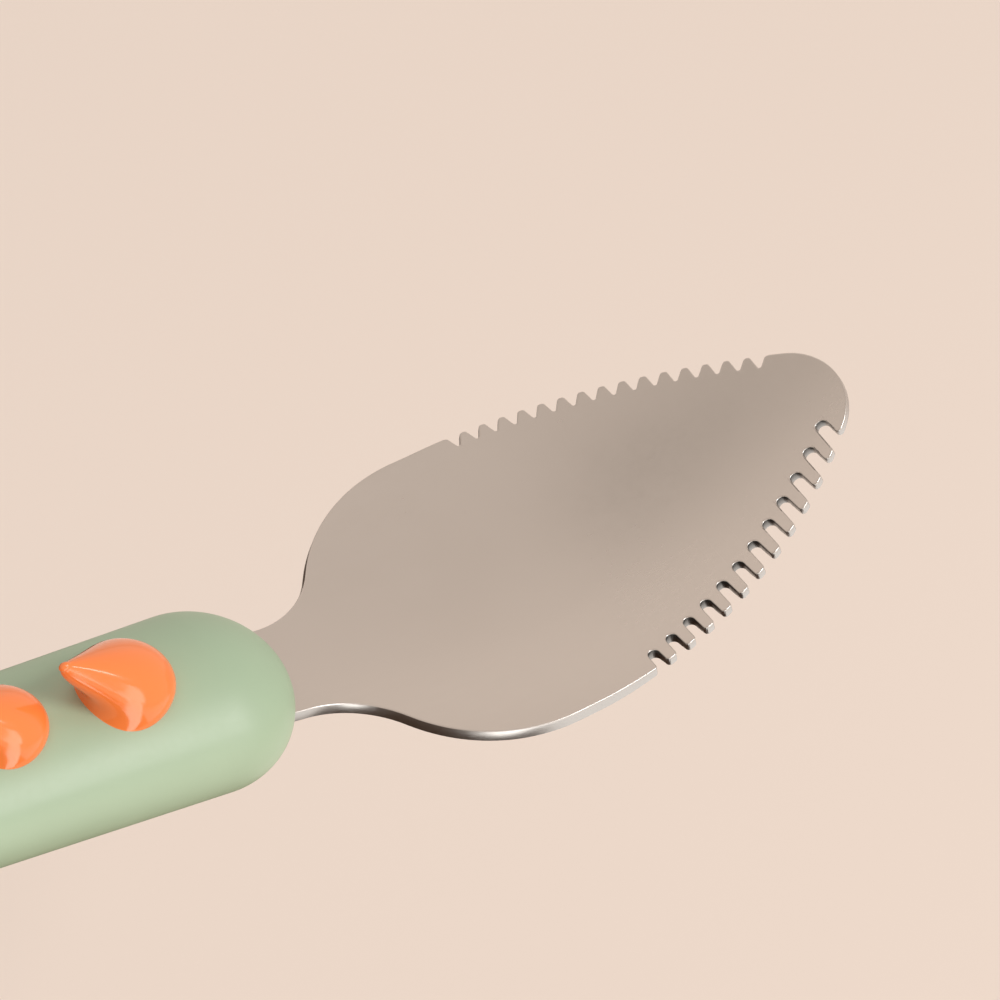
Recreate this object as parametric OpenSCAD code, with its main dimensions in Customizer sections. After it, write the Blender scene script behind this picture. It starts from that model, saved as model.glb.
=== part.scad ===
// Scraping spoon for soft fruit: a dished, toothed steel head in a moulded handle with raised grip nubs.
// Sizes are in millimetres. X runs along the handle to the tip, Z is up.
// The origin is under the middle of the part, on the plane that the handle's underside rests on.

/* [Handle] */
// Width of the handle at its front end
handle_w = 17; // [14:0.5:22]
// Thickness of the handle at its front end
handle_t = 12.4; // [11:0.2:16]
// Rounding radius of the handle's two sides
side_r = 5; // [4:0.1:5.4]
// Distance between the centres of the two rounded ends
handle_l = 81; // [60:1:100]
// How much smaller the radius is at the back end than at the front
taper = 1.7; // [0:0.1:2.5]
// Depth of the flat under the handle, on which the part lies still
flat_d = 0.5; // [0.2:0.1:1]

/* [Nubs] */
// Distance of the first nub's dome behind the front end's centre
nub_first = 7.8; // [6:0.1:12]
// Distance from one nub to the next
nub_pitch = 11.2; // [10.5:0.1:13]
// Size of each nub as a share of the one in front of it
nub_share = 0.9; // [0.82:0.01:1]
// Radius of the first nub's dome
nub_r = 4.15; // [3.4:0.05:4.8]
// Depth of the dome's centre below the handle's top
nub_sink = 0.15; // [0:0.05:0.6]
// Distance of the first nub's tip behind the dome's centre
peak_x = 5.7; // [4:0.1:6]
// Height of the first nub's tip over the dome's centre
peak_z = 4.6; // [4:0.1:6]
// Rounding radius of the first nub's tip
peak_r = 0.8; // [0.5:0.05:1.2]
// Radius of the leaning horn between dome and tip, at half a dome radius from the dome's centre
horn_r = 3.35; // [2.2:0.05:3.4]
// Radius of the stem under each nub
stem_r = 1.6; // [1:0.1:2.5]
// Depth of the stem below the handle's top
stem_l = 3; // [2:0.1:4]

/* [Blade] */
// Thickness of the steel sheet
sheet_t = 1.2; // [0.8:0.1:2]
// Width of the head
head_w = 30.8; // [24:0.2:38]
// Radius of the head's two long edges
edge_r = 52.8; // [46:0.2:70]
// Radius of the rounded tip
tip_r = 6; // [4:0.1:8]
// Length of the straight edge at the head's widest place
waist_l = 2.2; // [0:0.1:6]
// Width of the neck and of the tang in the handle
neck_w = 9.2; // [7:0.1:11]
// Radius between the neck and the head
neck_fillet = 8.35; // [5:0.05:12]
// Radius of the dish, both lengthwise and across
dish_r = 74; // [60:1:120]
// Upward tilt of the head against the handle
tilt = 13.7; // [5:0.1:18]
// Length of straight neck that shows in front of the handle
neck_l = 0; // [0:0.1:6]
// Height of the dish's middle above the handle's axis
dish_z = 2.3; // [1:0.1:4]
// Distance of the head's round back behind the dish's middle
round_x = 3.8; // [2:0.1:6]
// Length of the tang in the handle
tang_l = 36; // [20:1:50]
// Radius of the two anchor holes in the tang
anchor_r = 2; // [1:0.1:3]

/* [Coarse teeth] */
// Number of slots in the right-hand edge
slot_count = 12; // [6:1:12]
// Distance of the first slot in front of the dish's middle
slot_first = 4.9; // [3:0.05:8]
// Distance from slot to slot along the head
slot_pitch = 2.15; // [1.8:0.01:2.2]
// Depth of the slots, square to the edge
slot_depth = 2.5; // [1.5:0.1:3]
// Radius of each slot's round end
slot_r = 0.52; // [0.3:0.01:0.6]
// Opening angle of each slot wall
slot_flare = 3.5; // [0:0.5:8]

/* [Fine teeth] */
// Number of notches in the left-hand edge
notch_count = 16; // [8:1:16]
// Distance of the first notch along the edge from the widest place
notch_first = 4.1; // [3:0.1:6]
// Distance from notch to notch along the edge
notch_pitch = 1.86; // [1.7:0.01:1.9]
// Depth of the notches
notch_depth = 1.15; // [0.5:0.05:1.2]
// Angle of each notch wall against the direction square to the edge
notch_angle = 30; // [15:1:34]

/* [Fits] */
// Gap between the handle and what sits in it
fit = 0.05; // [0.02:0.01:0.2]
// Least thickness of handle between the tang and the stems
web = 0.6; // [0.4:0.1:1]

/* [Hidden] */
$fn = 96;
nub_count = 6;
over = 60;
// Rounding circles are this much larger than a smooth run needs, so that the curves cross cleanly.
cross = 0.06;

// Oval section of four arcs: distances of the arc centres and the large radius.
function oval_side(w, r) = w / 2 - r;
function oval_drop(w, t, r) =
    let (c = oval_side(w, r), k = (w - t) / 2) k * (2 * c - k) / (2 * (c - k));
function oval_big(w, t, r) = t / 2 + oval_drop(w, t, r);
// Half width at which the large arc meets the side arc.
function oval_meet(w, t, r) =
    oval_big(w, t, r) * oval_side(w, r) / (oval_big(w, t, r) - r);

side_c = oval_side(handle_w, side_r);
top_d = oval_drop(handle_w, handle_t, side_r);
top_r = oval_big(handle_w, handle_t, side_r);
meet_y = oval_meet(handle_w, handle_t, side_r);
meet_share = side_c / (top_r - side_r);

// Handle's top height at a place along its axis.
function top_z(x) = handle_t / 2 - taper * max(0, -x) / handle_l;
function nub_x(i) = -nub_first - i * nub_pitch;
function nub_size(i) = pow(nub_share, i);

// Head outline, drawn flat in the plane that touches the dish at its middle.
half_w = head_w / 2;
half_n = neck_w / 2;
back_u = -round_x;
edge_u = back_u + waist_l;
edge_c = edge_r - half_w;
tip_u = edge_u + sqrt(pow(edge_r - tip_r, 2) - pow(edge_c, 2));
tip_meet_u = edge_u + (tip_u - edge_u) * edge_r / (edge_r - tip_r);
fillet_v = half_n + neck_fillet;
fillet_u = back_u - sqrt(pow(half_w + neck_fillet, 2) - pow(fillet_v, 2));
fillet_meet_u = back_u + (fillet_u - back_u) * half_w / (half_w + neck_fillet);
fillet_meet_v = fillet_v * half_w / (half_w + neck_fillet);

// Height of the dish over its touching plane, for the upper face and for the lower one.
function dish_w(u) = dish_r - sqrt(pow(dish_r, 2) - pow(u, 2));
function under_w(u) = dish_r - sqrt(pow(dish_r + sheet_t, 2) - pow(u, 2));
// The head starts to widen where the neck has come out of the handle.
dish_x = handle_w / 2 + neck_l - fillet_u * cos(tilt) + dish_w(fillet_u) * sin(tilt);
function blade_x(u, w) = dish_x + u * cos(tilt) - w * sin(tilt);
function blade_z(u, w) = dish_z + u * sin(tilt) + w * cos(tilt);

// The sheet bends flat into the tang just behind the handle's front end centre.
root_u = -(dish_x - 1) / cos(tilt) + 1.2;
root_x = blade_x(root_u, dish_w(root_u));
tang_z = blade_z(root_u, dish_w(root_u));
tang_over = 1.2;

// The handle tapers, so its axis leans by this angle when its underside lies flat.
lean = atan(taper / handle_l);
front_x = blade_x(tip_u + tip_r, under_w(tip_u + tip_r));
front_z = blade_z(tip_u + tip_r, under_w(tip_u + tip_r));
front_end = front_x * cos(lean) - front_z * sin(lean);
back_end = -handle_l * cos(lean) - handle_w / 2 + taper;
shift_x = -(front_end + back_end) / 2;
shift_z = handle_t / 2 * cos(lean) - flat_d;

// Lays the part on the plane of the origin, with its middle over the origin.
module place() {
    translate([shift_x, 0, shift_z]) rotate([0, -lean, 0]) children();
}

// Two large arcs, rounded off by a circle on either side; smaller by g.
module oval(w, t, r, g) {
    c = oval_side(w, r);
    d = oval_drop(w, t, r);
    big = oval_big(w, t, r) - g;
    meet = oval_meet(w, t, r) - g * c / (oval_big(w, t, r) - r);
    difference() {
        intersection() {
            translate([0, -d]) circle(r = big);
            translate([0, d]) circle(r = big);
        }
        for (s = [0, 180]) rotate(s) difference() {
            translate([meet, -t]) square([w, 2 * t]);
            translate([c - cross, 0]) circle(r = r + cross - g);
        }
    }
}

// Half-round end towards +X with the handle's section all round, smaller by g.
module end_round(g) {
    rotate(-90) rotate_extrude(angle = 180) intersection() {
        oval(handle_w, handle_t, side_r, g);
        translate([0, -handle_t]) square([handle_w, 2 * handle_t]);
    }
}

// Cone along the handle, losing the taper from front to back.
module long_cone(r) {
    rotate([0, -90, 0]) cylinder(r1 = r, r2 = r - taper, h = handle_l);
}

// Cone whose top is the handle's upper face, grown by g, turned to put its seam underneath.
module top_cone(g) {
    translate([0, 0, -top_d]) rotate([180, 0, 0]) long_cone(top_r + g);
}

// Whole outside of the handle, grown by g.
module handle_form(g) {
    front_m = meet_y + g * meet_share;
    back_m = meet_y + (g - taper) * meet_share;
    end_round(-g);
    difference() {
        intersection() {
            top_cone(g);
            translate([0, 0, top_d]) long_cone(top_r + g);
        }
        for (s = [0, 1]) mirror([0, s, 0]) difference() {
            translate([0, 0, -handle_t]) linear_extrude(height = 2 * handle_t) polygon([
                [1, front_m + taper * meet_share / handle_l],
                [1, over],
                [-handle_l - 1, over],
                [-handle_l - 1, back_m - taper * meet_share / handle_l]
            ]);
            translate([0, side_c - cross, 0]) long_cone(side_r + cross + g);
        }
    }
    translate([-handle_l, 0, 0]) rotate(180) end_round(taper - g);
}

// Moves from the head's own plane to the handle's frame.
module on_dish() {
    translate([dish_x, 0, dish_z]) rotate([0, -tilt, 0]) children();
}

// Dished sheet before it is cut to its outline, thicker by g on both faces.
// The spheres are turned so that their poles lie out to the sides, clear of the sheet.
module dish(g) {
    translate([0, 0, dish_r]) rotate([90, 0, 0]) difference() {
        sphere(r = dish_r + sheet_t + g);
        sphere(r = dish_r - g);
    }
}

// Neck from the handle to the head's round back, larger by g.
module neck_strip(g) {
    translate([root_u - g, -half_n - g]) square([back_u - root_u, neck_w + 2 * g]);
}

// Strip right across the head between two places along it.
module between(u1, u2) {
    translate([u1, -head_w]) square([u2 - u1, 2 * head_w]);
}

// Widening from the neck to the head's round back.
module neck_corner() {
    difference() {
        translate([fillet_u, -fillet_meet_v])
            square([back_u - fillet_u, 2 * fillet_meet_v]);
        for (s = [-1, 1]) translate([fillet_u, s * fillet_v]) circle(r = neck_fillet + cross);
    }
}

// Two long edges that would meet in a point, rounded off at the tip.
module leaf() {
    difference() {
        intersection() {
            translate([edge_u, -edge_c]) circle(r = edge_r);
            translate([edge_u, edge_c]) circle(r = edge_r);
            between(edge_u, tip_u + over);
        }
        difference() {
            between(tip_meet_u, tip_u + over);
            translate([tip_u - cross, 0]) circle(r = tip_r + cross);
        }
    }
}

module head_outline() {
    neck_strip(0);
    neck_corner();
    translate([back_u, 0]) circle(r = half_w);
    translate([back_u, -half_w]) square([waist_l, head_w]);
    leaf();
}

// One slot, open towards -Y, its round end's top at the origin.
module slot() {
    reach = 3 * slot_depth;
    a = slot_r * cos(slot_flare);
    b = slot_r - slot_r * sin(slot_flare);
    flare = reach * tan(slot_flare);
    translate([0, -slot_r]) circle(r = slot_r);
    polygon([
        [-a, -b],
        [a, -b],
        [a + flare, -b - reach],
        [-a - flare, -b - reach]
    ]);
}

// One notch, open towards +Y, its bottom at the origin.
module notch() {
    reach = 3 * notch_depth;
    side = reach * tan(notch_angle);
    polygon([[0, 0], [side, reach], [-side, reach]]);
}

module slots() {
    inner_r = edge_r - slot_depth;
    for (i = [0:slot_count - 1]) {
        u = slot_first + i * slot_pitch;
        v = sqrt(pow(inner_r, 2) - pow(u - edge_u, 2)) - edge_c;
        translate([u, -v]) slot();
    }
}

module notches() {
    inner_r = edge_r - notch_depth;
    for (i = [0:notch_count - 1]) {
        turn = (notch_first + i * notch_pitch) / edge_r * 180 / PI;
        translate([edge_u + inner_r * sin(turn), inner_r * cos(turn) - edge_c])
            rotate(-turn) notch();
    }
}

module cut_outline() {
    difference() {
        head_outline();
        slots();
        notches();
    }
}

module anchor_holes(g) {
    for (x = [0.35, 0.75]) translate([root_x - x * tang_l, 0, tang_z - 2 * sheet_t])
        cylinder(r = anchor_r + g, h = 3 * sheet_t);
}

// Flat part of the sheet inside the handle, larger by g.
module tang(g) {
    difference() {
        translate([root_x - tang_l - g, -half_n - g, tang_z - sheet_t - g])
            cube([tang_l + tang_over + 2 * g, neck_w + 2 * g, sheet_t + 2 * g]);
        anchor_holes(-g);
    }
}

// Profile of a nub's horn, from inside the dome to its rounded tip.
module horn_profile() {
    start = nub_r / 2;
    reach = norm([peak_x, peak_z]);
    end_w = peak_r - cross;
    intersection() {
        union() {
            polygon([[-horn_r, start], [horn_r, start], [end_w, reach], [-end_w, reach]]);
            translate([0, reach]) circle(r = peak_r);
        }
        square([2 * nub_r, 5 * nub_r]);
    }
}

// Round dome that runs out into a horn, which leans back; their seams are turned apart.
module nub_form() {
    translate([0, 0, -nub_sink]) {
        rotate(180) sphere(r = nub_r);
        rotate([0, -atan2(peak_x, peak_z), 0]) rotate(45) rotate_extrude() horn_profile();
    }
}

// Stem of one nub, larger by g and reaching up above the handle's top; it ends above the tang.
module stem(i, g, up) {
    top = top_z(nub_x(i));
    foot = max(top - stem_l, tang_z + web);
    translate([nub_x(i), 0, foot - g]) cylinder(r = stem_r + g, h = top - foot + g + up);
}

module nub(i) {
    color([0.96, 0.45, 0.2]) place() union() {
        difference() {
            translate([nub_x(i), 0, top_z(nub_x(i))]) scale(nub_size(i)) nub_form();
            top_cone(fit);
        }
        stem(i, 0, nub_r * nub_size(i) / 3);
    }
}

module handle() {
    color([0.7, 0.77, 0.64]) difference() {
        place() difference() {
            handle_form(0);
            on_dish() intersection() {
                dish(fit);
                translate([0, 0, -over / 2]) linear_extrude(height = over) neck_strip(fit);
            }
            tang(fit);
            for (i = [0:nub_count - 1]) stem(i, fit, stem_l);
        }
        translate([-2 * over, -over, -over]) cube([4 * over, 2 * over, over]);
    }
}

module blade() {
    color([0.74, 0.73, 0.71]) place() union() {
        on_dish() intersection() {
            dish(0);
            translate([0, 0, -over / 2]) linear_extrude(height = over) cut_outline();
        }
        tang(0);
    }
}

module nub_1() {
    nub(0);
}

module nub_2() {
    nub(1);
}

module nub_3() {
    nub(2);
}

module nub_4() {
    nub(3);
}

module nub_5() {
    nub(4);
}

module nub_6() {
    nub(5);
}

handle();
blade();
nub_1();
nub_2();
nub_3();
nub_4();
nub_5();
nub_6();
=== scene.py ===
"""Looks of a fruit-scraping baby spoon, built around its CAD frame.

Sizes are millimetres in the handle's own frame unless a docstring says otherwise: X runs along the handle
to the tip, Y to the far edge, Z is up, and the origin is the centre of the handle's round front end. Seat
takes that frame to the part's own, in metres. Colours are red, green and blue of 0 to 255 as a screen shows
them.
"""

import logging
import math
from dataclasses import dataclass, field
from enum import Enum
from typing import Any

import bmesh
import bpy
import numpy as np
from mathutils import Matrix, Vector


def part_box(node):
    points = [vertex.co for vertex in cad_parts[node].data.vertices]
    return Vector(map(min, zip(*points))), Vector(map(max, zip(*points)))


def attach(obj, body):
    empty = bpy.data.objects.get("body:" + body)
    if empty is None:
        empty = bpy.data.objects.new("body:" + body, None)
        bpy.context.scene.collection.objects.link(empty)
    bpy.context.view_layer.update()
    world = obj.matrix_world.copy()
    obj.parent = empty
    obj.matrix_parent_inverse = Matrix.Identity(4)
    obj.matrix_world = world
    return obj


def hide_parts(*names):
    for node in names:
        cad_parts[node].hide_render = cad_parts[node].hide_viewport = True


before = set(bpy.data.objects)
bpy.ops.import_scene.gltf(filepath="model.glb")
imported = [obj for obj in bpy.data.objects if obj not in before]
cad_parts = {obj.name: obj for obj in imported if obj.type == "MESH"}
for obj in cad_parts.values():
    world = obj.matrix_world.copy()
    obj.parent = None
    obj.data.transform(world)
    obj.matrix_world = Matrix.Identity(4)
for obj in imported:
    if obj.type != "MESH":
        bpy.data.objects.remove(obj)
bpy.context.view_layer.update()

MM = 0.001
MERGE = 1e-7
TINY = 1e-12
BODY = "root"
# Point attribute that carries the painted shade on the walls at the bottoms of the teeth.
RECESS_SHADE = "recess_shade"
# Most of a cloudy noise lies between these two values.
CLOUD_LOW, CLOUD_HIGH = 0.3, 0.7

Array = np.ndarray
Colour = tuple[float, float, float]

log = logging.getLogger("baby_spoon")


class RecordSlot(Enum):
    """Material slots of the part's record."""

    HANDLE = "handle"
    NUBS = "nubs"
    BLADE = "blade"


class Side(Enum):
    """The head's two long edges, by the sign of their Y."""

    NEAR = -1.0
    FAR = 1.0


def linear(colour: Colour) -> tuple[float, float, float, float]:
    """Takes a screen colour of 0 to 255 to scene-linear light.

    Args:
        colour: Red, green and blue as a screen shows them.

    Returns:
        Red, green, blue and alpha for a shader's colour socket.
    """
    share = np.asarray(colour, float) / 255.0
    light = np.where(share <= 0.04045, share / 12.92, ((share + 0.055) / 1.055) ** 2.4)
    return (float(light[0]), float(light[1]), float(light[2]), 1.0)


def ease(share: Array) -> Array:
    """Smooth step: 3 s^2 - 2 s^3 of a share held between 0 and 1."""
    held = np.clip(share, 0.0, 1.0)
    return held * held * (3.0 - 2.0 * held)


def unit(vectors: Array) -> Array:
    """Vectors along the last axis, each divided by its own length."""
    return vectors / np.maximum(np.linalg.norm(vectors, axis=-1, keepdims=True), TINY)


def grid_quads(rows: int, cols: int, ring_rows: bool, ring_cols: bool) -> Array:
    """Quads of a grid of points that is stored row by row.

    Args:
        rows: Number of rows of points.
        cols: Number of points in a row.
        ring_rows: Whether the last row is joined to the first.
        ring_cols: Whether the last point of a row is joined to its first.

    Returns:
        Four point numbers for each quad.
    """
    row, col = np.meshgrid(
        np.arange(rows if ring_rows else rows - 1),
        np.arange(cols if ring_cols else cols - 1),
        indexing="ij",
    )
    next_row, next_col = (row + 1) % rows, (col + 1) % cols
    corners = [row * cols + col, next_row * cols + col, next_row * cols + next_col, row * cols + next_col]
    return np.stack(corners, -1).reshape(-1, 4)


def make_piece(name: str, points: Array, quads: Array, recess_shade: Array | None = None) -> bpy.types.Object:
    """Makes a closed, smooth piece of a grid of points in metres.

    Doubled points on seams and poles are merged, and all faces are turned outwards.

    Args:
        name: Name of the piece.
        points: Points of the grid, three numbers each.
        quads: Four point numbers for each face.
        recess_shade: How far each point is set back from an open edge, 0 to 1, which the finish paints as
            shade.

    Returns:
        The new object, at the origin.
    """
    mesh = bpy.data.meshes.new(name)
    mesh.from_pydata(points.reshape(-1, 3).tolist(), [], quads.tolist())
    if recess_shade is not None:
        mesh.attributes.new(RECESS_SHADE, "FLOAT", "POINT").data.foreach_set("value", recess_shade.ravel())
    shape = bmesh.new()
    shape.from_mesh(mesh)
    bmesh.ops.remove_doubles(shape, verts=shape.verts, dist=MERGE)
    bmesh.ops.dissolve_degenerate(shape, edges=shape.edges, dist=MERGE)
    bmesh.ops.recalc_face_normals(shape, faces=shape.faces)
    shape.to_mesh(mesh)
    shape.free()
    mesh.shade_smooth()
    piece = bpy.data.objects.new(name, mesh)
    bpy.context.scene.collection.objects.link(piece)
    return piece


def fit_to_part(piece: bpy.types.Object, node: str, material: bpy.types.Material) -> None:
    """Makes a piece stand for a CAD node, move with the part and wear a finish.

    Args:
        piece: The new piece, in place.
        node: CAD node that it stands for.
        material: The finish.
    """
    piece.data.materials.append(material)
    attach(piece, BODY)
    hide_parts(node)
    log.info("%s stands for %s, %d faces", piece.name, node, len(piece.data.polygons))


@dataclass(frozen=True)
class Seat:
    """How the handle's frame lies in the part's frame: leaned about Y, then shifted."""

    lean: float
    shift_x: float
    shift_z: float

    def turn(self, vectors: Array) -> Array:
        """Turns vectors about Y by the lean, which lifts their X ends.

        Args:
            vectors: Vectors in the handle's frame, along the last axis.

        Returns:
            The same vectors in the part's frame.
        """
        x, y, z = np.moveaxis(np.asarray(vectors, float), -1, 0)
        c, s = math.cos(self.lean), math.sin(self.lean)
        return np.stack([x * c - z * s, y, x * s + z * c], -1)

    def place(self, points: Array) -> Array:
        """Points turned, shifted and made metres."""
        return (self.turn(points) + np.array([self.shift_x, 0.0, self.shift_z])) * MM


class NodePad:
    """Adds and joins the nodes of one material or world."""

    def __init__(self, owner: bpy.types.Material | bpy.types.World) -> None:
        """Clears the owner's nodes.

        Args:
            owner: Material or world whose nodes are made.
        """
        owner.use_nodes = True
        self.tree = owner.node_tree
        self.tree.nodes.clear()

    def add(self, kind: str, sockets: dict[str | int, Any] | None = None,
            **settings: Any) -> bpy.types.Node:
        """Adds one node, sets its sockets or links them.

        Args:
            kind: Blender's name of the node type.
            sockets: Value, or another node's output, for each named or numbered input.
            **settings: Other properties of the node.

        Returns:
            The new node.
        """
        node = self.tree.nodes.new(kind)
        for key, value in settings.items():
            setattr(node, key, value)
        for key, value in (sockets or {}).items():
            if isinstance(value, bpy.types.NodeSocket):
                self.tree.links.new(value, node.inputs[key])
            else:
                node.inputs[key].default_value = value
        return node

    def span(self, value: bpy.types.NodeSocket, low: float, high: float,
             start: float = 0.0, end: float = 1.0) -> bpy.types.NodeSocket:
        """Stretches a value so that start becomes low and end becomes high.

        Args:
            value: Output that is stretched.
            low: Result at start.
            high: Result at end.
            start: Value that gives low.
            end: Value that gives high.

        Returns:
            The stretched output.
        """
        sockets = {"Value": value, "From Min": start, "From Max": end, "To Min": low, "To Max": high}
        return self.add("ShaderNodeMapRange", sockets).outputs["Result"]

    def math(self, operation: str, first: Any, second: Any) -> bpy.types.NodeSocket:
        """Works out one operation on two values.

        Args:
            operation: Blender's name of the operation.
            first: First value or output.
            second: Second value or output.

        Returns:
            The result.
        """
        return self.add("ShaderNodeMath", {0: first, 1: second}, operation=operation).outputs["Value"]

    def tones(self, value: bpy.types.NodeSocket, stops: list[tuple[float, tuple]]) -> bpy.types.NodeSocket:
        """Colour ramp over a value.

        Args:
            value: Output between 0 and 1.
            stops: Place and linear colour of each stop, in order.

        Returns:
            The colour output.
        """
        ramp = self.add("ShaderNodeValToRGB", {"Fac": value})
        elements = ramp.color_ramp.elements
        while len(elements) < len(stops):
            elements.new(1.0)
        for element, (place, colour) in zip(elements, stops):
            element.position = place
            element.color = colour
        return ramp.outputs["Color"]

    def blend(self, first: bpy.types.NodeSocket, second: bpy.types.NodeSocket,
              part: float) -> bpy.types.NodeSocket:
        """Mixes two values by the first one's part.

        Args:
            first: First output.
            second: Second output.
            part: Part of the first in the mix, 0 to 1.

        Returns:
            The mixed output.
        """
        rest = self.math("MULTIPLY", second, 1.0 - part)
        return self.math("ADD", self.math("MULTIPLY", first, part), rest)

    def noise(self, place: bpy.types.NodeSocket, scale: float, detail: float = 3.0) -> bpy.types.NodeSocket:
        """Cloudy noise between 0 and 1.

        Args:
            place: Coordinates, in metres.
            scale: Clouds in one metre.
            detail: Number of finer layers.

        Returns:
            The noise output.
        """
        sockets = {"Vector": place, "Scale": scale, "Detail": detail}
        return self.add("ShaderNodeTexNoise", sockets).outputs["Fac"]


def shaded(colour: Colour, share: float) -> tuple[float, float, float, float]:
    """A screen colour in scene-linear light, made lighter or darker by a share."""
    red, green, blue, alpha = linear(colour)
    return (red * (1.0 + share), green * (1.0 + share), blue * (1.0 + share), alpha)


@dataclass(frozen=True)
class MouldedPlastic:
    """Moulded plastic: soft mottling of the colour, a varied gloss, a fine moulded grain and shallow waves.

    Scales are counts in a metre, and depths are metres.
    """

    name: str
    colour: Colour
    mottle: float
    rough_low: float
    rough_high: float
    grain_depth: float
    coat: float
    coat_rough: float = 0.08
    cloud_part: float = 0.6
    mottle_scale: float = 90.0
    grain_scale: float = 2400.0
    wave_scale: float = 260.0
    wave_depth: float = 2e-5

    def material(self) -> bpy.types.Material:
        """Builds the finish on Object coordinates.

        Returns:
            The new material.
        """
        material = bpy.data.materials.new(self.name)
        pad = NodePad(material)
        place = pad.add("ShaderNodeTexCoord").outputs["Object"]
        cloud = pad.noise(place, self.mottle_scale)
        grain = pad.noise(place, self.grain_scale, 2.0)
        wave = pad.noise(place, self.wave_scale, 1.0)
        stops = [
            (CLOUD_LOW, shaded(self.colour, -self.mottle)),
            (CLOUD_HIGH, shaded(self.colour, self.mottle)),
        ]
        rough = pad.span(pad.blend(cloud, grain, self.cloud_part),
                         self.rough_low, self.rough_high, CLOUD_LOW, CLOUD_HIGH)
        waves = pad.add("ShaderNodeBump", {"Height": wave, "Strength": 1.0, "Distance": self.wave_depth})
        bump = pad.add("ShaderNodeBump", {
            "Height": grain,
            "Strength": 1.0,
            "Distance": self.grain_depth,
            "Normal": waves.outputs["Normal"],
        })
        shader = pad.add("ShaderNodeBsdfPrincipled", {
            "Base Color": pad.tones(cloud, stops),
            "Roughness": rough,
            "Coat Weight": self.coat,
            "Coat Roughness": self.coat_rough,
            "Normal": bump.outputs["Normal"],
        })
        pad.add("ShaderNodeOutputMaterial", {"Surface": shader.outputs["BSDF"]})
        return material


@dataclass(frozen=True)
class SatinSteel:
    """Pressed stainless sheet: satin polish with faint lengthwise lines, soft clouds and a few small pits.

    The walls at the bottoms of the teeth are darkened by the piece's recess_shade attribute: painted shade
    and painted dark reflections in the slots. The tones are places on the colour ramp, with how much
    lighter or darker than the colour each one is. Scales and lines are counts in a metre, and the depth is
    in metres.
    """

    name: str
    colour: Colour
    rough_low: float
    rough_high: float
    tones: tuple[tuple[float, float], ...] = ((0.1, -0.85), (0.6, -0.22), (0.8, -0.015), (1.0, 0.015))
    plain_tone: float = 0.8
    pit_dark: float = 0.25
    # Painted shade: how much darker the walls at the bottoms of the teeth are made.
    painted_wall_shade: float = 0.8
    cloud_part: float = 0.5
    line_depth: float = 2.5e-6
    cloud_scale: float = 70.0
    lines_along: float = 45.0
    lines_across: float = 3200.0
    pit_scale: float = 150.0
    pit_size: float = 0.05
    pit_floor: float = 0.4

    def material(self) -> bpy.types.Material:
        """Builds the finish on Object coordinates.

        Returns:
            The new material.
        """
        material = bpy.data.materials.new(self.name)
        pad = NodePad(material)
        place = pad.add("ShaderNodeTexCoord").outputs["Object"]
        stretch = pad.add("ShaderNodeMapping", {
            "Vector": place, "Scale": (self.lines_along, self.lines_across, self.lines_across)})
        lines = pad.noise(stretch.outputs["Vector"], 1.0, 2.0)
        cloud = pad.noise(place, self.cloud_scale)
        pits = pad.add("ShaderNodeTexVoronoi", {
            "Vector": place, "Scale": self.pit_scale, "Randomness": 1.0}).outputs["Distance"]
        pit = pad.span(pits, 1.0, 0.0, self.pit_size * self.pit_floor, self.pit_size)
        # Painted shade and painted dark reflections on the tooth walls, read from the piece's attribute.
        recess_shade = pad.add("ShaderNodeAttribute", attribute_name=RECESS_SHADE).outputs["Fac"]
        pits_and_painted_shade = pad.math("ADD", pad.math("MULTIPLY", pit, self.pit_dark),
                         pad.math("MULTIPLY", recess_shade, self.painted_wall_shade))
        clouds = pad.span(cloud, self.plain_tone, 1.0, CLOUD_LOW, CLOUD_HIGH)
        tone = pad.math("SUBTRACT", clouds, pits_and_painted_shade)
        stops = [(ramp_place, shaded(self.colour, share)) for ramp_place, share in self.tones]
        rough = pad.span(pad.blend(cloud, lines, self.cloud_part),
                         self.rough_low, self.rough_high, CLOUD_LOW, CLOUD_HIGH)
        bump = pad.add("ShaderNodeBump", {"Height": lines, "Strength": 1.0, "Distance": self.line_depth})
        shader = pad.add("ShaderNodeBsdfPrincipled", {
            "Base Color": pad.tones(tone, stops),
            "Metallic": 1.0,
            "Roughness": rough,
            "Normal": bump.outputs["Normal"],
        })
        pad.add("ShaderNodeOutputMaterial", {"Surface": shader.outputs["BSDF"]})
        return material


@dataclass(frozen=True)
class PaperFloor:
    """Pale matt paper under the part; from below it is clear, so that the underside can be seen."""

    name: str
    colour: Colour
    mottle: float = 0.01
    cloud_scale: float = 3.0

    def material(self) -> bpy.types.Material:
        """Builds the finish on Object coordinates.

        Returns:
            The new material.
        """
        material = bpy.data.materials.new(self.name)
        pad = NodePad(material)
        place = pad.add("ShaderNodeTexCoord").outputs["Object"]
        cloud = pad.noise(place, self.cloud_scale)
        stops = [
            (CLOUD_LOW, shaded(self.colour, -self.mottle)),
            (CLOUD_HIGH, shaded(self.colour, self.mottle)),
        ]
        paper = pad.add("ShaderNodeBsdfDiffuse", {"Color": pad.tones(cloud, stops)})
        clear = pad.add("ShaderNodeBsdfTransparent")
        back = pad.add("ShaderNodeNewGeometry").outputs["Backfacing"]
        both = pad.add("ShaderNodeMixShader", {
            0: back, 1: paper.outputs["BSDF"], 2: clear.outputs["BSDF"]})
        pad.add("ShaderNodeOutputMaterial", {"Surface": both.outputs["Shader"]})
        return material


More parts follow.
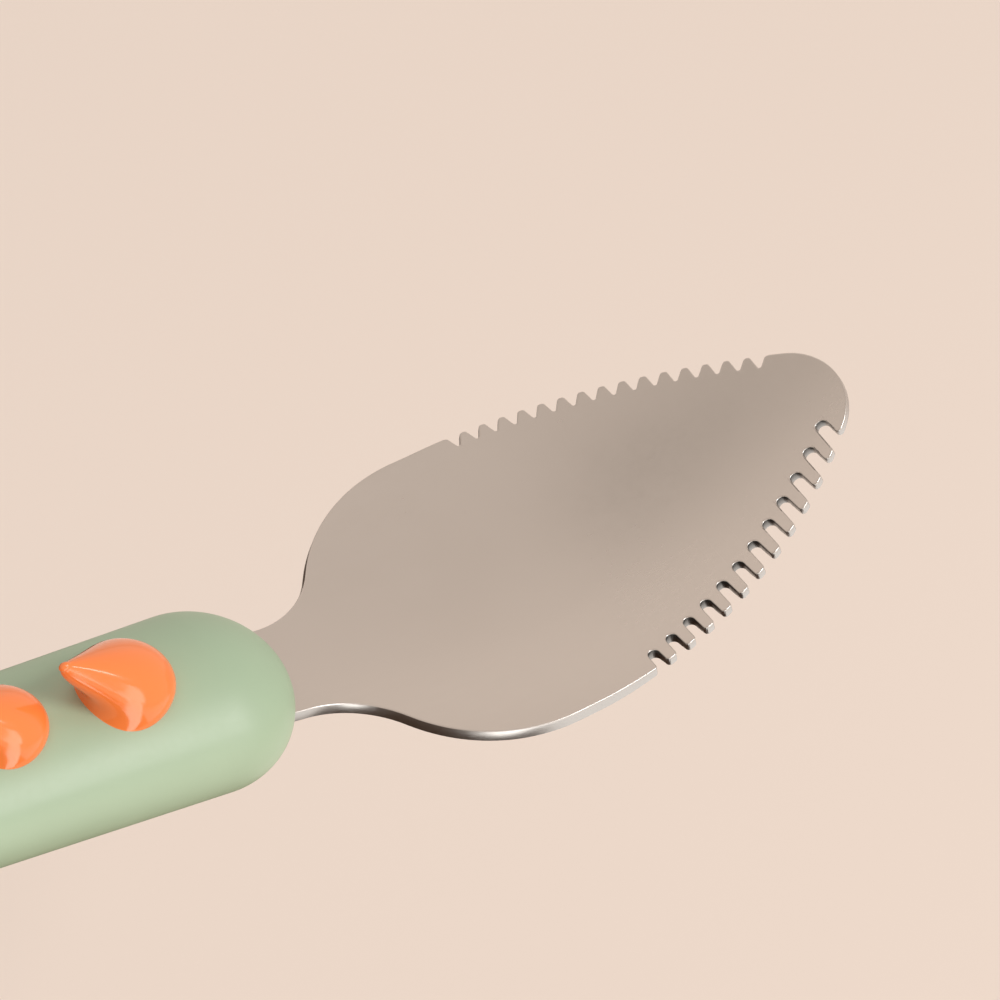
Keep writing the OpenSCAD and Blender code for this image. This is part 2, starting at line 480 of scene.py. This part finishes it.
@dataclass
class Handle:
    """Moulded handle: an oval section carried round a stadium path that tapers to the back."""

    finish: MouldedPlastic
    width: float = 17.0
    thick: float = 12.4
    side_r: float = 5.0
    length: float = 80.95
    taper: float = 1.7
    flat: float = 0.5
    flat_ease: float = 0.12
    section_steps: int = 72
    end_steps: int = 48
    side_steps: int = 60

    def seat(self) -> Seat:
        """Works out the seat from the handle's own CAD box, whose front is the round end.

        Returns:
            The seat of the handle's frame.
        """
        lean = math.atan2(self.taper, self.length)
        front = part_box("handle")[1].x / MM
        reach = (self.width / 2 - self.side_r) * math.cos(lean) + self.side_r
        return Seat(lean, front - reach, self.thick / 2 * math.cos(lean) - self.flat)

    def shrink(self, x: Array) -> Array:
        """How much smaller every radius is at a place along the handle."""
        return self.taper * np.clip(-x, 0.0, self.length) / self.length

    def section(self, angle: Array, shrink: Array) -> tuple[Array, Array]:
        """Oval of four arcs, by the angle of its outward normal over the horizon.

        A point is its arc's centre plus the arc's radius, less the shrink, along the normal. The side arc
        is centred on the oval's long axis, the top and bottom arcs on its short axis.

        Args:
            angle: Angle of the normal, from straight down to straight up.
            shrink: How much smaller the radii are.

        Returns:
            Distance from the middle, and height.
        """
        side = self.width / 2 - self.side_r
        squash = (self.width - self.thick) / 2
        drop = squash * (2 * side - squash) / (2 * (side - squash))
        flank = np.abs(angle) <= math.atan2(drop, side)
        radius = np.where(flank, self.side_r, self.thick / 2 + drop) - shrink
        centre_y = np.where(flank, side, 0.0)
        centre_z = np.where(flank, 0.0, -np.sign(angle) * drop)
        return centre_y + radius * np.cos(angle), centre_z + radius * np.sin(angle)

    def top(self, x: float) -> float:
        """Height of the handle's top line at a place along it."""
        return self.thick / 2 - float(self.shrink(np.array(x)))

    def surface(self) -> Array:
        """The section carried round the stadium path.

        The path runs round the front end, back along the far side, round the back end and forward along the
        near side. At each place the section stands upright in the path's outward direction.

        Returns:
            Points, path places by section places.
        """
        turn = np.linspace(-math.pi / 2, math.pi / 2, self.end_steps)
        along = np.linspace(0.0, -self.length, self.side_steps)[1:-1]
        still = np.zeros_like(along)
        rail_x = np.concatenate([0 * turn, along, 0 * turn - self.length, along[::-1]])
        out_x = np.concatenate([np.cos(turn), still, -np.cos(turn), still])
        out_y = np.concatenate([np.sin(turn), still + 1, -np.sin(turn), still - 1])
        angle = np.linspace(-math.pi / 2, math.pi / 2, self.section_steps)
        reach, height = self.section(angle[None, :], self.shrink(rail_x)[:, None])
        reach[:, [0, -1]] = 0.0
        return np.stack([rail_x[:, None] + reach * out_x[:, None], reach * out_y[:, None], height], -1)

    def build(self, seat: Seat) -> None:
        """Makes the handle's piece and dresses it.

        The height h over the table becomes (h + sqrt(h^2 + e^2)) / 2, with e the flat's easing, which cuts
        the flat underneath with a soft border.

        Args:
            seat: Seat of the handle's frame.
        """
        points = seat.place(self.surface())
        lift = self.flat_ease * MM
        points[..., 2] = (points[..., 2] + np.hypot(points[..., 2], lift)) / 2
        rows, cols = points.shape[:2]
        piece = make_piece("handle_body", points, grid_quads(rows, cols, True, False))
        fit_to_part(piece, "handle", self.finish.material())


@dataclass
class NubRow:
    """Row of glossy grip nubs on the handle's top, each a round dome that leans back into a narrow tip.

    The two lines of a nub, in its middle plane, are cubic curves from the foot to the tip. Their four
    control points are distances to the front and heights over the handle's top.
    """

    finish: MouldedPlastic
    count: int = 6
    first: float = 7.8
    pitch: float = 11.2
    share: float = 0.9
    front: tuple[tuple[float, float], ...] = ((3.14, -1.9), (8.17, 2.7), (-4.28, 4.81), (-6.64, 5.4))
    back: tuple[tuple[float, float], ...] = ((-5.3, -1.9), (-1.53, 1.47), (-6.87, 2.18), (-6.64, 5.4))
    roundness: float = 0.98
    thinning: float = 0.2
    thin_from: float = 0.3
    tip_from: float = 0.91
    ring_steps: int = 72
    tip_steps: int = 10
    turn_steps: int = 96

    def curve(self, knots: tuple[tuple[float, float], ...], share: Array) -> Array:
        """Cubic curve through its first and last control point, with weights 1, 3, 3, 1 of s and 1 - s.

        Args:
            knots: The four control points.
            share: Shares s of the way, 0 to 1.

        Returns:
            One point for each share.
        """
        s = share[:, None]
        weights = np.concatenate([(1 - s) ** 3, 3 * s * (1 - s) ** 2, 3 * s**2 * (1 - s), s**3], axis=1)
        return weights @ np.array(knots)

    def surface(self) -> Array:
        """Ellipses that lean with the nub, each between a place on the front line and one on the back line.

        An ellipse has its middle halfway between the two places, and its half width is its half length
        times the roundness, which is eased down by the thinning from thin_from to the tip. From tip_from
        on, the last ellipse closes as the half of an ellipsoid along its own axis, which rounds the tip.
        The first ring is one point, which closes the floor.

        Returns:
            Points, rings by directions, for a nub of full size on a handle's top at the origin.
        """
        turn = np.linspace(0.0, 2 * math.pi, self.turn_steps, endpoint=False)
        share = np.linspace(0.0, self.tip_from, self.ring_steps)
        ahead, behind = self.curve(self.front, share), self.curve(self.back, share)
        middle, half = (ahead + behind) / 2, (ahead - behind) / 2
        bend = np.linspace(0.0, math.pi / 2, self.tip_steps)[1:, None]
        run = unit(middle[-1:] - middle[-2:-1])
        cap = np.linalg.norm(half[-1]) * np.sin(bend) * run
        middle = np.concatenate([middle[:1], middle, middle[-1:] + cap])
        half = np.concatenate([0.0 * half[:1], half, half[-1:] * np.cos(bend)])
        thin = self.thinning * ease((share - self.thin_from) / (1.0 - self.thin_from))
        wide = self.roundness * (1.0 - np.pad(thin, (1, self.tip_steps - 1), mode="edge"))
        wide = wide[:, None] * np.linalg.norm(half, axis=1, keepdims=True)
        x = middle[:, :1] + half[:, :1] * np.cos(turn)
        z = middle[:, 1:] + half[:, 1:] * np.cos(turn)
        return np.stack([x, wide * np.sin(turn), z], -1)

    def build(self, handle: Handle, seat: Seat) -> None:
        """Makes the nubs, each smaller than the one in front, and dresses them.

        Args:
            handle: The handle that they stand on.
            seat: Seat of the handle's frame.
        """
        form = self.surface()
        quads = grid_quads(form.shape[0], form.shape[1], False, True)
        material = self.finish.material()
        for number in range(self.count):
            x = -self.first - number * self.pitch
            points = form * self.share**number + np.array([x, 0.0, handle.top(x)])
            piece = make_piece(f"grip_nub_{number + 1}", seat.place(points), quads)
            fit_to_part(piece, f"nub_{number + 1}", material)


@dataclass(frozen=True)
class Cuts:
    """A row of cuts in one edge: where each lies, how wide they open and how they are rounded.

    The bottoms are places on the head's plane, and a cut's axis is turned from straight across it.
    """

    bottom_u: Array
    bottom_v: Array
    turn: Array
    root_r: float
    flare: float
    corner_r: float
    crest_drop: float
    arc_steps: int
    wall_steps: int


@dataclass
class Blade:
    """Dished, leaf-shaped steel head with slots in the near edge, notches in the far one, and a tang.

    The head has its own flat coordinates in the plane that touches the dish at its middle: u to the tip and
    v to the far edge. The dish is a sphere over that plane, and the sheet's thickness runs square to it.
    """

    finish: SatinSteel
    dish_r: float = 74.0
    dish_x: float = 32.416
    dish_z: float = 2.3
    tilt: float = math.radians(13.7)
    sheet_t: float = 1.2
    ground_t: float = 0.95
    ground_w: float = 1.6
    ground_from: float = -1.0
    ground_to: float = 6.0
    half_w: float = 15.17
    edge_r: float = 52.0
    tip_r: float = 5.8
    round_u: float = -3.8
    edge_u: float = -1.4
    half_neck: float = 4.6
    fillet_r: float = 8.8
    root_u: float = -29.0
    tang_l: float = 34.0
    top_round: float = 0.1
    under_round: float = 0.14
    slot_first: float = 4.93
    slot_pitch: float = 2.157
    slot_count: int = 12
    slot_depth: float = 2.54
    slot_ease: float = 2.45
    slot_deepest: float = 6.5
    slot_turn: float = math.radians(1.2)
    slot_r: float = 0.52
    slot_flare: float = math.radians(1.9)
    slot_corner: float = 0.33
    slot_drop: float = 0.0
    slot_arc_steps: int = 6
    slot_wall_steps: int = 5
    notch_first: float = 3.93
    notch_pitch: float = 1.854
    notch_count: int = 16
    notch_depth: float = 1.07
    notch_r: float = 0.2
    notch_flare: float = math.radians(27.0)
    notch_back: float = math.radians(3.0)
    notch_corner: float = 0.3
    notch_drop: float = 0.03
    notch_arc_steps: int = 5
    notch_wall_steps: int = 4
    least_lean: float = math.radians(2.0)
    # Painted shade on the tooth walls: the depth at which it is full, and its share on the lower rounding.
    shade_depth: float = 1.4
    shade_low: float = 0.5
    core_share: float = 0.4
    plain_step: float = 0.45
    least_step: float = 0.003
    tang_steps: int = 14
    tip_steps: int = 34
    core_steps: int = 11
    round_steps: int = 4
    band: Array = field(default_factory=lambda: np.array([0.015, 0.05, 0.12, 0.22, 0.36, 0.55, 0.77]))

    @property
    def edge_v(self) -> float:
        """Distance of the long edges' arc centres beyond the middle line."""
        return self.edge_r - self.half_w

    @property
    def tip_u(self) -> float:
        """Place of the tip circle's centre, which touches both long edges from inside."""
        return self.edge_u + math.sqrt((self.edge_r - self.tip_r) ** 2 - self.edge_v**2)

    @property
    def tip_meet(self) -> float:
        """Place where the long edges turn into the tip circle."""
        return self.edge_u + (self.tip_u - self.edge_u) * self.edge_r / (self.edge_r - self.tip_r)

    def smooth_width(self, u: Array) -> Array:
        """Half width of the head without its teeth: neck, fillet, round back, waist, long edge, tip circle.

        Args:
            u: Places along the head.

        Returns:
            Half width at each place.
        """
        fillet_v = self.half_neck + self.fillet_r
        reach = self.half_w + self.fillet_r
        fillet_u = self.round_u - math.sqrt(reach**2 - fillet_v**2)
        fillet_meet = self.round_u + (fillet_u - self.round_u) * self.half_w / reach

        def arc(radius: float, centre: float) -> Array:
            """Half width of a circle about a place on the middle line."""
            return np.sqrt(np.maximum(radius**2 - (u - centre) ** 2, 0.0))

        return np.select(
            [u <= fillet_u, u <= fillet_meet, u <= self.round_u, u <= self.edge_u, u <= self.tip_meet],
            [
                np.full_like(u, self.half_neck),
                fillet_v - arc(self.fillet_r, fillet_u),
                arc(self.half_w, self.round_u),
                np.full_like(u, self.half_w),
                arc(self.edge_r, self.edge_u) - self.edge_v,
            ],
            arc(self.tip_r, self.tip_u),
        )

    def plain_places(self) -> Array:
        """Places along the head that its smooth outline needs: evenly spaced, and by angle round the tip.

        Returns:
            Places from the tang's end to the nose.
        """
        tang = np.linspace(self.root_u - self.tang_l, self.root_u, self.tang_steps)[:-1]
        steps = int((self.tip_meet - self.root_u) / self.plain_step)
        body = np.linspace(self.root_u, self.tip_meet, steps)[:-1]
        first = math.asin((self.tip_meet - self.tip_u) / self.tip_r)
        tip = self.tip_u + self.tip_r * np.sin(np.linspace(first, math.pi / 2, self.tip_steps))
        return np.concatenate([tang, body, tip])

    def cut_line(self, cuts: Cuts) -> tuple[Array, Array]:
        """Edge with a row of cuts, as half widths along the head.

        Each cut has a round bottom, two straight walls that open outwards on either side of the cut's
        turned axis, and rounded corners. A corner's centre lies its radius inside both the wall and the
        crests' arc: with q the point at that distance from the wall, seen from the arc's centre, and d the
        wall's direction, it is q + s d, where s solves |q + s d| = crest radius - corner radius.

        Args:
            cuts: The row of cuts.

        Returns:
            Places along the head, rising, with the half width at each, and the inward vectors there.
        """
        side = np.array([-1.0, 1.0])
        turn = cuts.turn[:, None]
        lean = turn + side * cuts.flare
        wall = np.stack([np.sin(lean), np.cos(lean)], -1)
        into = np.stack([np.cos(lean), -np.sin(lean)], -1) * side[:, None]
        bottom = np.stack([cuts.bottom_u, cuts.bottom_v], -1)[:, None]
        root = bottom + cuts.root_r * np.stack([np.sin(turn), np.cos(turn)], -1)
        arc_centre = np.array([self.edge_u, -self.edge_v])
        crest_r = self.edge_r - cuts.crest_drop
        foot = root + cuts.root_r * into
        inner = foot + cuts.corner_r * into - arc_centre
        along = np.sum(inner * wall, -1)
        run = np.sqrt(along**2 - np.sum(inner**2, -1) + (crest_r - cuts.corner_r) ** 2) - along
        corner = inner + run[..., None] * wall
        first, last = -into, unit(corner)
        swing = np.arccos(np.clip(np.sum(first * last, -1), -1.0, 1.0))[..., None, None]
        share = np.linspace(0.0, 1.0, cuts.arc_steps)[:, None]
        ray = (np.sin((1 - share) * swing) * first[..., None, :]
               + np.sin(share * swing) * last[..., None, :]) / np.sin(swing)
        corners = (arc_centre + corner)[..., None, :] + cuts.corner_r * ray
        rise = np.linspace(0.0, 1.0, cuts.wall_steps + 1)[:-1, None]
        walls = foot[..., None, :] + rise * (corners[..., :1, :] - foot[..., None, :])
        fan = np.linspace(-1.0, 1.0, 2 * cuts.arc_steps + 1)[1:-1] * (math.pi / 2 - cuts.flare)
        below = np.stack([np.sin(fan - turn), -np.cos(fan - turn)], -1)
        bottoms = root + cuts.root_r * below
        plain = self.plain_places()
        plain_line = np.stack([plain, self.smooth_width(plain)], -1)
        kept = (plain < corners[0, 0, -1, 0]) | (plain > corners[-1, 1, -1, 0])
        parts = [corners, walls, bottoms, plain_line[kept]]
        squares = [-ray, np.broadcast_to(into[..., None, :], walls.shape), below,
                   self.inward(*plain_line.T)[kept]]
        points = np.concatenate([part.reshape(-1, 2) for part in parts])
        square = np.concatenate([part.reshape(-1, 2) for part in squares])
        order = np.argsort(points[:, 0])
        return points[order], square[order]

    def slots(self) -> Cuts:
        """The coarse slots: evenly spaced along the head, shallower to both ends of the row.

        The depth is the largest depth less slot_ease times the square of the share of the row that lies
        between a slot and the deepest one.

        Returns:
            The row of slots.
        """
        number = np.arange(self.slot_count)
        u = self.slot_first + self.slot_pitch * number
        depth = self.slot_depth - self.slot_ease * ((number - self.slot_deepest) / self.slot_count) ** 2
        v = np.sqrt((self.edge_r - depth) ** 2 - (u - self.edge_u) ** 2) - self.edge_v
        turn = np.full(self.slot_count, self.slot_turn)
        return Cuts(u, v, turn, self.slot_r, self.slot_flare, self.slot_corner, self.slot_drop,
                    self.slot_arc_steps, self.slot_wall_steps)

    def notches(self) -> Cuts:
        """The fine notches: evenly spaced along the edge's arc, each a V with a round bottom.

        They stand square to the arc but for notch_back, which turns them back a little. Near the tip their
        turn is held just under their flare, so that no wall hangs over.

        Returns:
            The row of notches.
        """
        turn = (self.notch_first + self.notch_pitch * np.arange(self.notch_count)) / self.edge_r
        inner = self.edge_r - self.notch_depth
        u = self.edge_u + inner * np.sin(turn)
        v = inner * np.cos(turn) - self.edge_v
        held = np.minimum(turn - self.notch_back, self.notch_flare - self.least_lean)
        return Cuts(u, v, held, self.notch_r, self.notch_flare, self.notch_corner, self.notch_drop,
                    self.notch_arc_steps, self.notch_wall_steps)

    def inward(self, u: Array, v: Array) -> Array:
        """Unit vectors square to an edge line, towards the middle line, for an edge on the far side.

        The direction at a point is the mean of its two neighbouring stretches, turned a quarter; at the
        ends it is straight across at the tang and straight back at the nose.

        Args:
            u: Places along the head.
            v: Half widths.

        Returns:
            One vector for each place.
        """
        run = unit(np.stack([np.diff(u), np.diff(v)], -1))
        mean = unit(run[1:] + run[:-1])
        square = np.stack([mean[:, 1], -mean[:, 0]], -1)
        return np.concatenate([[[0.0, -1.0]], square, [[-1.0, 0.0]]])

    def thickness(self, u: Array, v: Array) -> Array:
        """Sheet thickness: full inside, thinner towards the toothed edges, which are ground from below.

        The distance from the smooth outline is taken from the long edge's arc, or from the tip circle for
        points that see the tip's arc.

        Args:
            u: Places along the head.
            v: Places across it.

        Returns:
            Thickness at each point.
        """
        across = np.abs(v)
        from_edge = self.edge_r - np.hypot(u - self.edge_u, across + self.edge_v)
        from_tip = self.tip_r - np.hypot(u - self.tip_u, v)
        tip_turn = math.atan2(self.edge_v, self.tip_u - self.edge_u)
        distance = np.where(np.arctan2(across, u - self.tip_u) < tip_turn, from_tip, from_edge)
        ground = ease((u - self.ground_from) / (self.ground_to - self.ground_from))
        thin = ground * (1.0 - ease(distance / self.ground_w))
        return self.sheet_t - (self.sheet_t - self.ground_t) * thin

    def lift(self, u: Array, v: Array, depth: Array) -> Array:
        """Points of the dished sheet in the handle's frame.

        A point lies on the ray from the dish's centre through its place on the sphere, at the sphere's
        radius plus its depth below the upper face. Behind the root the last section runs straight back as
        the tang.

        Args:
            u: Places along the head.
            v: Places across it.
            depth: Depths below the upper face.

        Returns:
            Points in the handle's frame.
        """
        held = np.maximum(u, self.root_u)
        share = (self.dish_r + depth) / self.dish_r
        w = self.dish_r - np.sqrt(self.dish_r**2 - held**2 - v**2) * share
        c, s = math.cos(self.tilt), math.sin(self.tilt)
        x = self.dish_x + held * share * c - w * s + (u - held)
        return np.stack([x, v * share, self.dish_z + held * share * s + w * c], -1)

    def face(self, lines: dict[Side, tuple[Array, Array]], u: Array, inset: float) -> Array:
        """Flat places of one face of the sheet, from the near edge to the far one.

        The face starts and ends its rounding's inset inside the edges. Bands lead from there to a core
        strip, which follows the smooth outline and not the teeth.

        Args:
            lines: Half widths and inward vectors of each edge.
            u: Places along the head.
            inset: Distance of the face's border inside the edge.

        Returns:
            Places along and across the head, places along by places across.
        """
        plain = self.smooth_width(u)
        centre = np.stack([u, plain], -1) + inset * self.inward(u, plain)
        halves = {}
        for side, (v, square) in lines.items():
            mirror = np.array([1.0, side.value])
            border = (np.stack([u, v], -1) + inset * square) * mirror
            core = centre * np.array([1.0, self.core_share]) * mirror
            halves[side] = border[:, None] + self.band[None, :, None] * (core - border)[:, None]
        across = np.linspace(-1.0, 1.0, self.core_steps)[None, :]
        strip = np.stack([np.broadcast_to(centre[:, :1], (len(u), self.core_steps)),
                          self.core_share * centre[:, 1:] * across], -1)
        return np.concatenate([halves[Side.NEAR], strip, halves[Side.FAR][:, ::-1]], axis=1)

    def rim(self, line: tuple[Array, Array], u: Array, side: Side) -> Array:
        """Points round one edge, from the upper face over two small roundings to the lower face.

        A rounding by angle b lies at inset r (1 - sin b) and depth r (1 - cos b) from its face.

        Args:
            line: Half widths and inward vectors of the edge.
            u: Places along the head.
            side: Which edge it is.

        Returns:
            Points in the handle's frame, places along by places round the edge.
        """
        v, square = line
        bend = np.linspace(0.0, math.pi / 2, self.round_steps)
        thick = self.thickness(u, v)[:, None]
        inset = np.concatenate([
            self.top_round * (1 - np.sin(bend)),
            self.under_round * (1 - np.sin(bend[::-1])),
        ])
        top_depth = np.broadcast_to(self.top_round * (1 - np.cos(bend)), (len(u), self.round_steps))
        low_depth = thick - self.under_round * (1 - np.cos(bend[::-1]))
        depth = np.concatenate([top_depth, low_depth], axis=1)
        flat = np.stack([u, v], -1)[:, None] + inset[None, :, None] * square[:, None]
        return self.lift(flat[..., 0], flat[..., 1] * side.value, depth)

    def recess_shade(self, line: tuple[Array, Array], u: Array) -> Array:
        """Painted shade on the wall of one edge, by how far it is set back: its distance inside the smooth
        outline over shade_depth.

        The upper rounding and the faces have none, and it is eased off down the wall.

        Args:
            line: Half widths and inward vectors of the edge.
            u: Places along the head.

        Returns:
            Shares of 0 to 1, places along by places round the edge.
        """
        share = ease((self.smooth_width(u) - line[0]) / self.shade_depth)
        weights = np.zeros(2 * self.round_steps)
        weights[self.round_steps - 1] = 1.0
        weights[self.round_steps] = self.shade_low
        return share[:, None] * weights

    def surface(self) -> tuple[Array, Array]:
        """The whole sheet: a closed section at each place along the head, from the tang's end to the nose.

        Both edges are taken at the same places along the head, so each section is one row of the grid. It
        runs over the upper face, round the far edge, back under the lower face and round the near edge.

        Returns:
            Points, places along by places round the section, in the handle's frame, and their painted
            shade.
        """
        near, far = self.cut_line(self.slots()), self.cut_line(self.notches())
        places = np.sort(np.concatenate([near[0][:, 0], far[0][:, 0]]))
        u = places[np.concatenate([[True], np.diff(places) > self.least_step])]
        u[-1] = places[-1]
        lines = {}
        for side, (keys, square) in ((Side.NEAR, near), (Side.FAR, far)):
            blended = [np.interp(u, keys[:, 0], values) for values in (keys[:, 1], *square.T)]
            lines[side] = (blended[0], np.stack(blended[1:], -1))
        upper, lower = self.face(lines, u, self.top_round), self.face(lines, u, self.under_round)
        under = self.thickness(lower[..., 0], lower[..., 1])
        loop = np.concatenate([
            self.lift(upper[..., 0], upper[..., 1], np.zeros_like(under)),
            self.rim(lines[Side.FAR], u, Side.FAR),
            self.lift(lower[..., 0], lower[..., 1], under)[:, ::-1],
            self.rim(lines[Side.NEAR], u, Side.NEAR)[:, ::-1],
        ], axis=1)
        # Painted shade for each point: none on the faces, some on the tooth walls.
        plain = np.zeros(under.shape)
        shade_share = np.concatenate([plain, self.recess_shade(lines[Side.FAR], u), plain,
                               self.recess_shade(lines[Side.NEAR], u)[:, ::-1]], axis=1)
        end = np.broadcast_to(loop[:1].mean(axis=1, keepdims=True), loop[:1].shape)
        return np.concatenate([end, loop]), np.concatenate([shade_share[:1], shade_share])

    def build(self, seat: Seat) -> None:
        """Makes the blade's piece and dresses it.

        Args:
            seat: Seat of the handle's frame.
        """
        points, recess_shade = self.surface()
        rows, cols = points.shape[:2]
        piece = make_piece("scraper_blade", seat.place(points), grid_quads(rows, cols, False, True), recess_shade)
        fit_to_part(piece, "blade", self.finish.material())


@dataclass(frozen=True)
class Lamp:
    """A soft box: a rectangular lamp that is aimed at the part, in metres and watts."""

    name: str
    place: tuple[float, float, float]
    size: tuple[float, float]
    power: float
    in_gloss: bool = True

    def make(self) -> None:
        """Adds the lamp, turned to the origin."""
        data = bpy.data.lights.new(self.name, "AREA")
        data.shape = "RECTANGLE"
        data.size, data.size_y = self.size
        data.energy = self.power
        lamp = bpy.data.objects.new(self.name, data)
        lamp.location = self.place
        lamp.rotation_euler = (-Vector(self.place)).to_track_quat("-Z", "Y").to_euler()
        lamp.visible_glossy = self.in_gloss
        bpy.context.scene.collection.objects.link(lamp)


@dataclass(frozen=True)
class Card:
    """A flat card that only reflections see, by its middle and half sides, in metres."""

    name: str
    middle: tuple[float, float, float]
    half_long: tuple[float, float, float]
    half_wide: tuple[float, float, float]
    colour: Colour
    strength: float

    def make(self) -> None:
        """Sets up the card and hides it from everything but reflections."""
        signs = np.array([[-1.0, -1.0], [1.0, -1.0], [1.0, 1.0], [-1.0, 1.0]])
        points = np.array(self.middle) + signs @ np.array([self.half_long, self.half_wide])
        mesh = bpy.data.meshes.new(self.name)
        mesh.from_pydata(points.tolist(), [], [[0, 1, 2, 3]])
        material = bpy.data.materials.new(self.name)
        pad = NodePad(material)
        glow = pad.add("ShaderNodeEmission", {"Color": linear(self.colour), "Strength": self.strength})
        pad.add("ShaderNodeOutputMaterial", {"Surface": glow.outputs["Emission"]})
        mesh.materials.append(material)
        card = bpy.data.objects.new(self.name, mesh)
        card.visible_camera = False
        card.visible_diffuse = False
        card.visible_shadow = False
        card.visible_transmission = False
        bpy.context.scene.collection.objects.link(card)


@dataclass
class Studio:
    """Floor, light, cards and camera.

    The floor's height and size are metres. The camera looks at a point of the handle's frame that lies
    aim_right and aim_up of its origin, as the picture has right and up.
    """

    floor: PaperFloor
    lamps: list[Lamp]
    cards: list[Card]
    paper: Colour
    fill: float = 0.52
    floor_z: float = -0.1
    floor_half: float = 4.0
    azimuth: float = math.radians(-45.83)
    elevation: float = math.radians(44.97)
    roll: float = math.radians(18.03)
    distance: float = 350.0
    aim_right: float = 25.36
    aim_up: float = 16.85
    view_angle: float = math.radians(13.475)

    def add_floor(self) -> None:
        """Lays the paper floor, a square well below the part."""
        half = self.floor_half
        corners = np.array([[-half, -half], [half, -half], [half, half], [-half, half]])
        points = np.concatenate([corners, np.full((4, 1), self.floor_z)], axis=1)
        mesh = bpy.data.meshes.new("paper_floor")
        mesh.from_pydata(points.tolist(), [], [[0, 1, 2, 3]])
        mesh.materials.append(self.floor.material())
        floor = bpy.data.objects.new("paper_floor", mesh)
        bpy.context.scene.collection.objects.link(floor)

    def add_world(self) -> None:
        """Lights the scene evenly; the camera and reflections see the paper's colour instead."""
        world = bpy.data.worlds.new("studio")
        bpy.context.scene.world = world
        pad = NodePad(world)
        path = pad.add("ShaderNodeLightPath").outputs
        seen = pad.math("MAXIMUM", path["Is Camera Ray"],
                        pad.math("MAXIMUM", path["Is Glossy Ray"], path["Is Transmission Ray"]))
        even = pad.add("ShaderNodeBackground", {"Color": (1.0, 1.0, 1.0, 1.0), "Strength": self.fill})
        paper = pad.add("ShaderNodeBackground", {"Color": linear(self.paper), "Strength": 1.0})
        both = pad.add("ShaderNodeMixShader", {
            0: seen, 1: even.outputs["Background"], 2: paper.outputs["Background"]})
        pad.add("ShaderNodeOutputWorld", {"Surface": both.outputs["Shader"]})

    def add_camera(self, seat: Seat) -> None:
        """Sets up the camera from its angles about the handle's frame.

        Args:
            seat: Seat of the handle's frame.
        """
        az, el, roll = self.azimuth, self.elevation, self.roll
        back = np.array([math.sin(az) * math.cos(el), -math.cos(az) * math.cos(el), math.sin(el)])
        level = np.array([math.cos(az), math.sin(az), 0.0])
        upright = np.cross(back, level)
        right = math.cos(roll) * level + math.sin(roll) * upright
        up = math.cos(roll) * upright - math.sin(roll) * level
        eye = self.aim_right * right + self.aim_up * up + self.distance * back
        axes = [Vector(seat.turn(axis)) for axis in (right, up, back)]
        data = bpy.data.cameras.new("camera")
        data.angle = self.view_angle
        camera = bpy.data.objects.new("camera", data)
        turn = Matrix((axes[0], axes[1], axes[2])).transposed().to_4x4()
        camera.matrix_world = Matrix.Translation(Vector(seat.place(eye))) @ turn
        bpy.context.scene.collection.objects.link(camera)
        bpy.context.scene.camera = camera

    def build(self, seat: Seat) -> None:
        """Makes the floor, the light, the cards and the camera.

        Args:
            seat: Seat of the handle's frame.
        """
        bpy.context.scene.view_settings.view_transform = "Standard"
        self.add_floor()
        self.add_world()
        for item in [*self.lamps, *self.cards]:
            item.make()
        self.add_camera(seat)


SAGE = MouldedPlastic("sage_satin_plastic", (166, 184, 153), mottle=0.02, rough_low=0.36,
                      rough_high=0.46, grain_depth=3e-6, coat=0.0)
ORANGE = MouldedPlastic("orange_gloss_plastic", (255, 132, 64), mottle=0.015, rough_low=0.1,
                        rough_high=0.16, grain_depth=1e-6, coat=0.3)
STEEL = SatinSteel("satin_steel", (198, 197, 195), rough_low=0.26, rough_high=0.34)
PAPER: Colour = (237, 217, 202)
WARM_WHITE: Colour = (255, 250, 244)
LAMPS = [
    Lamp("key_soft_box", (0.7, -1.0, 1.58), (0.8, 0.8), 17.6),
    Lamp("side_soft_box", (0.5, -1.8, 0.52), (1.0, 1.0), 9.0, in_gloss=False),
    Lamp("top_soft_box", (-0.3, 0.6, 1.8), (1.4, 1.4), 4.2, in_gloss=False),
]
CARDS = [
    Card("dark_card", (-0.21, -0.1, -0.09), (0.285, 0.0, 0.0), (0.0, 0.4, 0.0), (70, 50, 38), 1.0),
    Card("pale_card", (0.34, -0.25, -0.09), (0.26, 0.0, 0.0), (0.0, 0.25, 0.0), (255, 247, 240), 1.2),
    Card("band_card", (-0.35, 0.37, 0.8), (0.32, 0.0, 0.0), (0.0, 0.08, 0.0), (173, 159, 147), 1.0),
    Card("glow_card", (0.1, 0.75, 0.8), (0.7, 0.0, 0.0), (0.0, 0.17, 0.0), PAPER, 1.3),
    Card("low_strip_card", (0.02, -0.216, -0.021), (0.039, -0.061, 0.064), (0.032, 0.015, 0.0),
         WARM_WHITE, 3.5),
    Card("high_strip_card", (0.281, -0.469, 0.282), (0.221, -0.191, 0.238), (0.052, 0.024, 0.0),
         WARM_WHITE, 3.5),
]


def main() -> None:
    """Builds the spoon's pieces in order, then the studio around them."""
    logging.basicConfig(level=logging.INFO, format="%(name)s: %(message)s")
    handle = Handle(SAGE)
    seat = handle.seat()
    handle.build(seat)
    NubRow(ORANGE).build(handle, seat)
    Blade(STEEL).build(seat)
    Studio(PaperFloor("warm_paper", PAPER), LAMPS, CARDS, PAPER).build(seat)


if __name__ == "__main__":
    main()
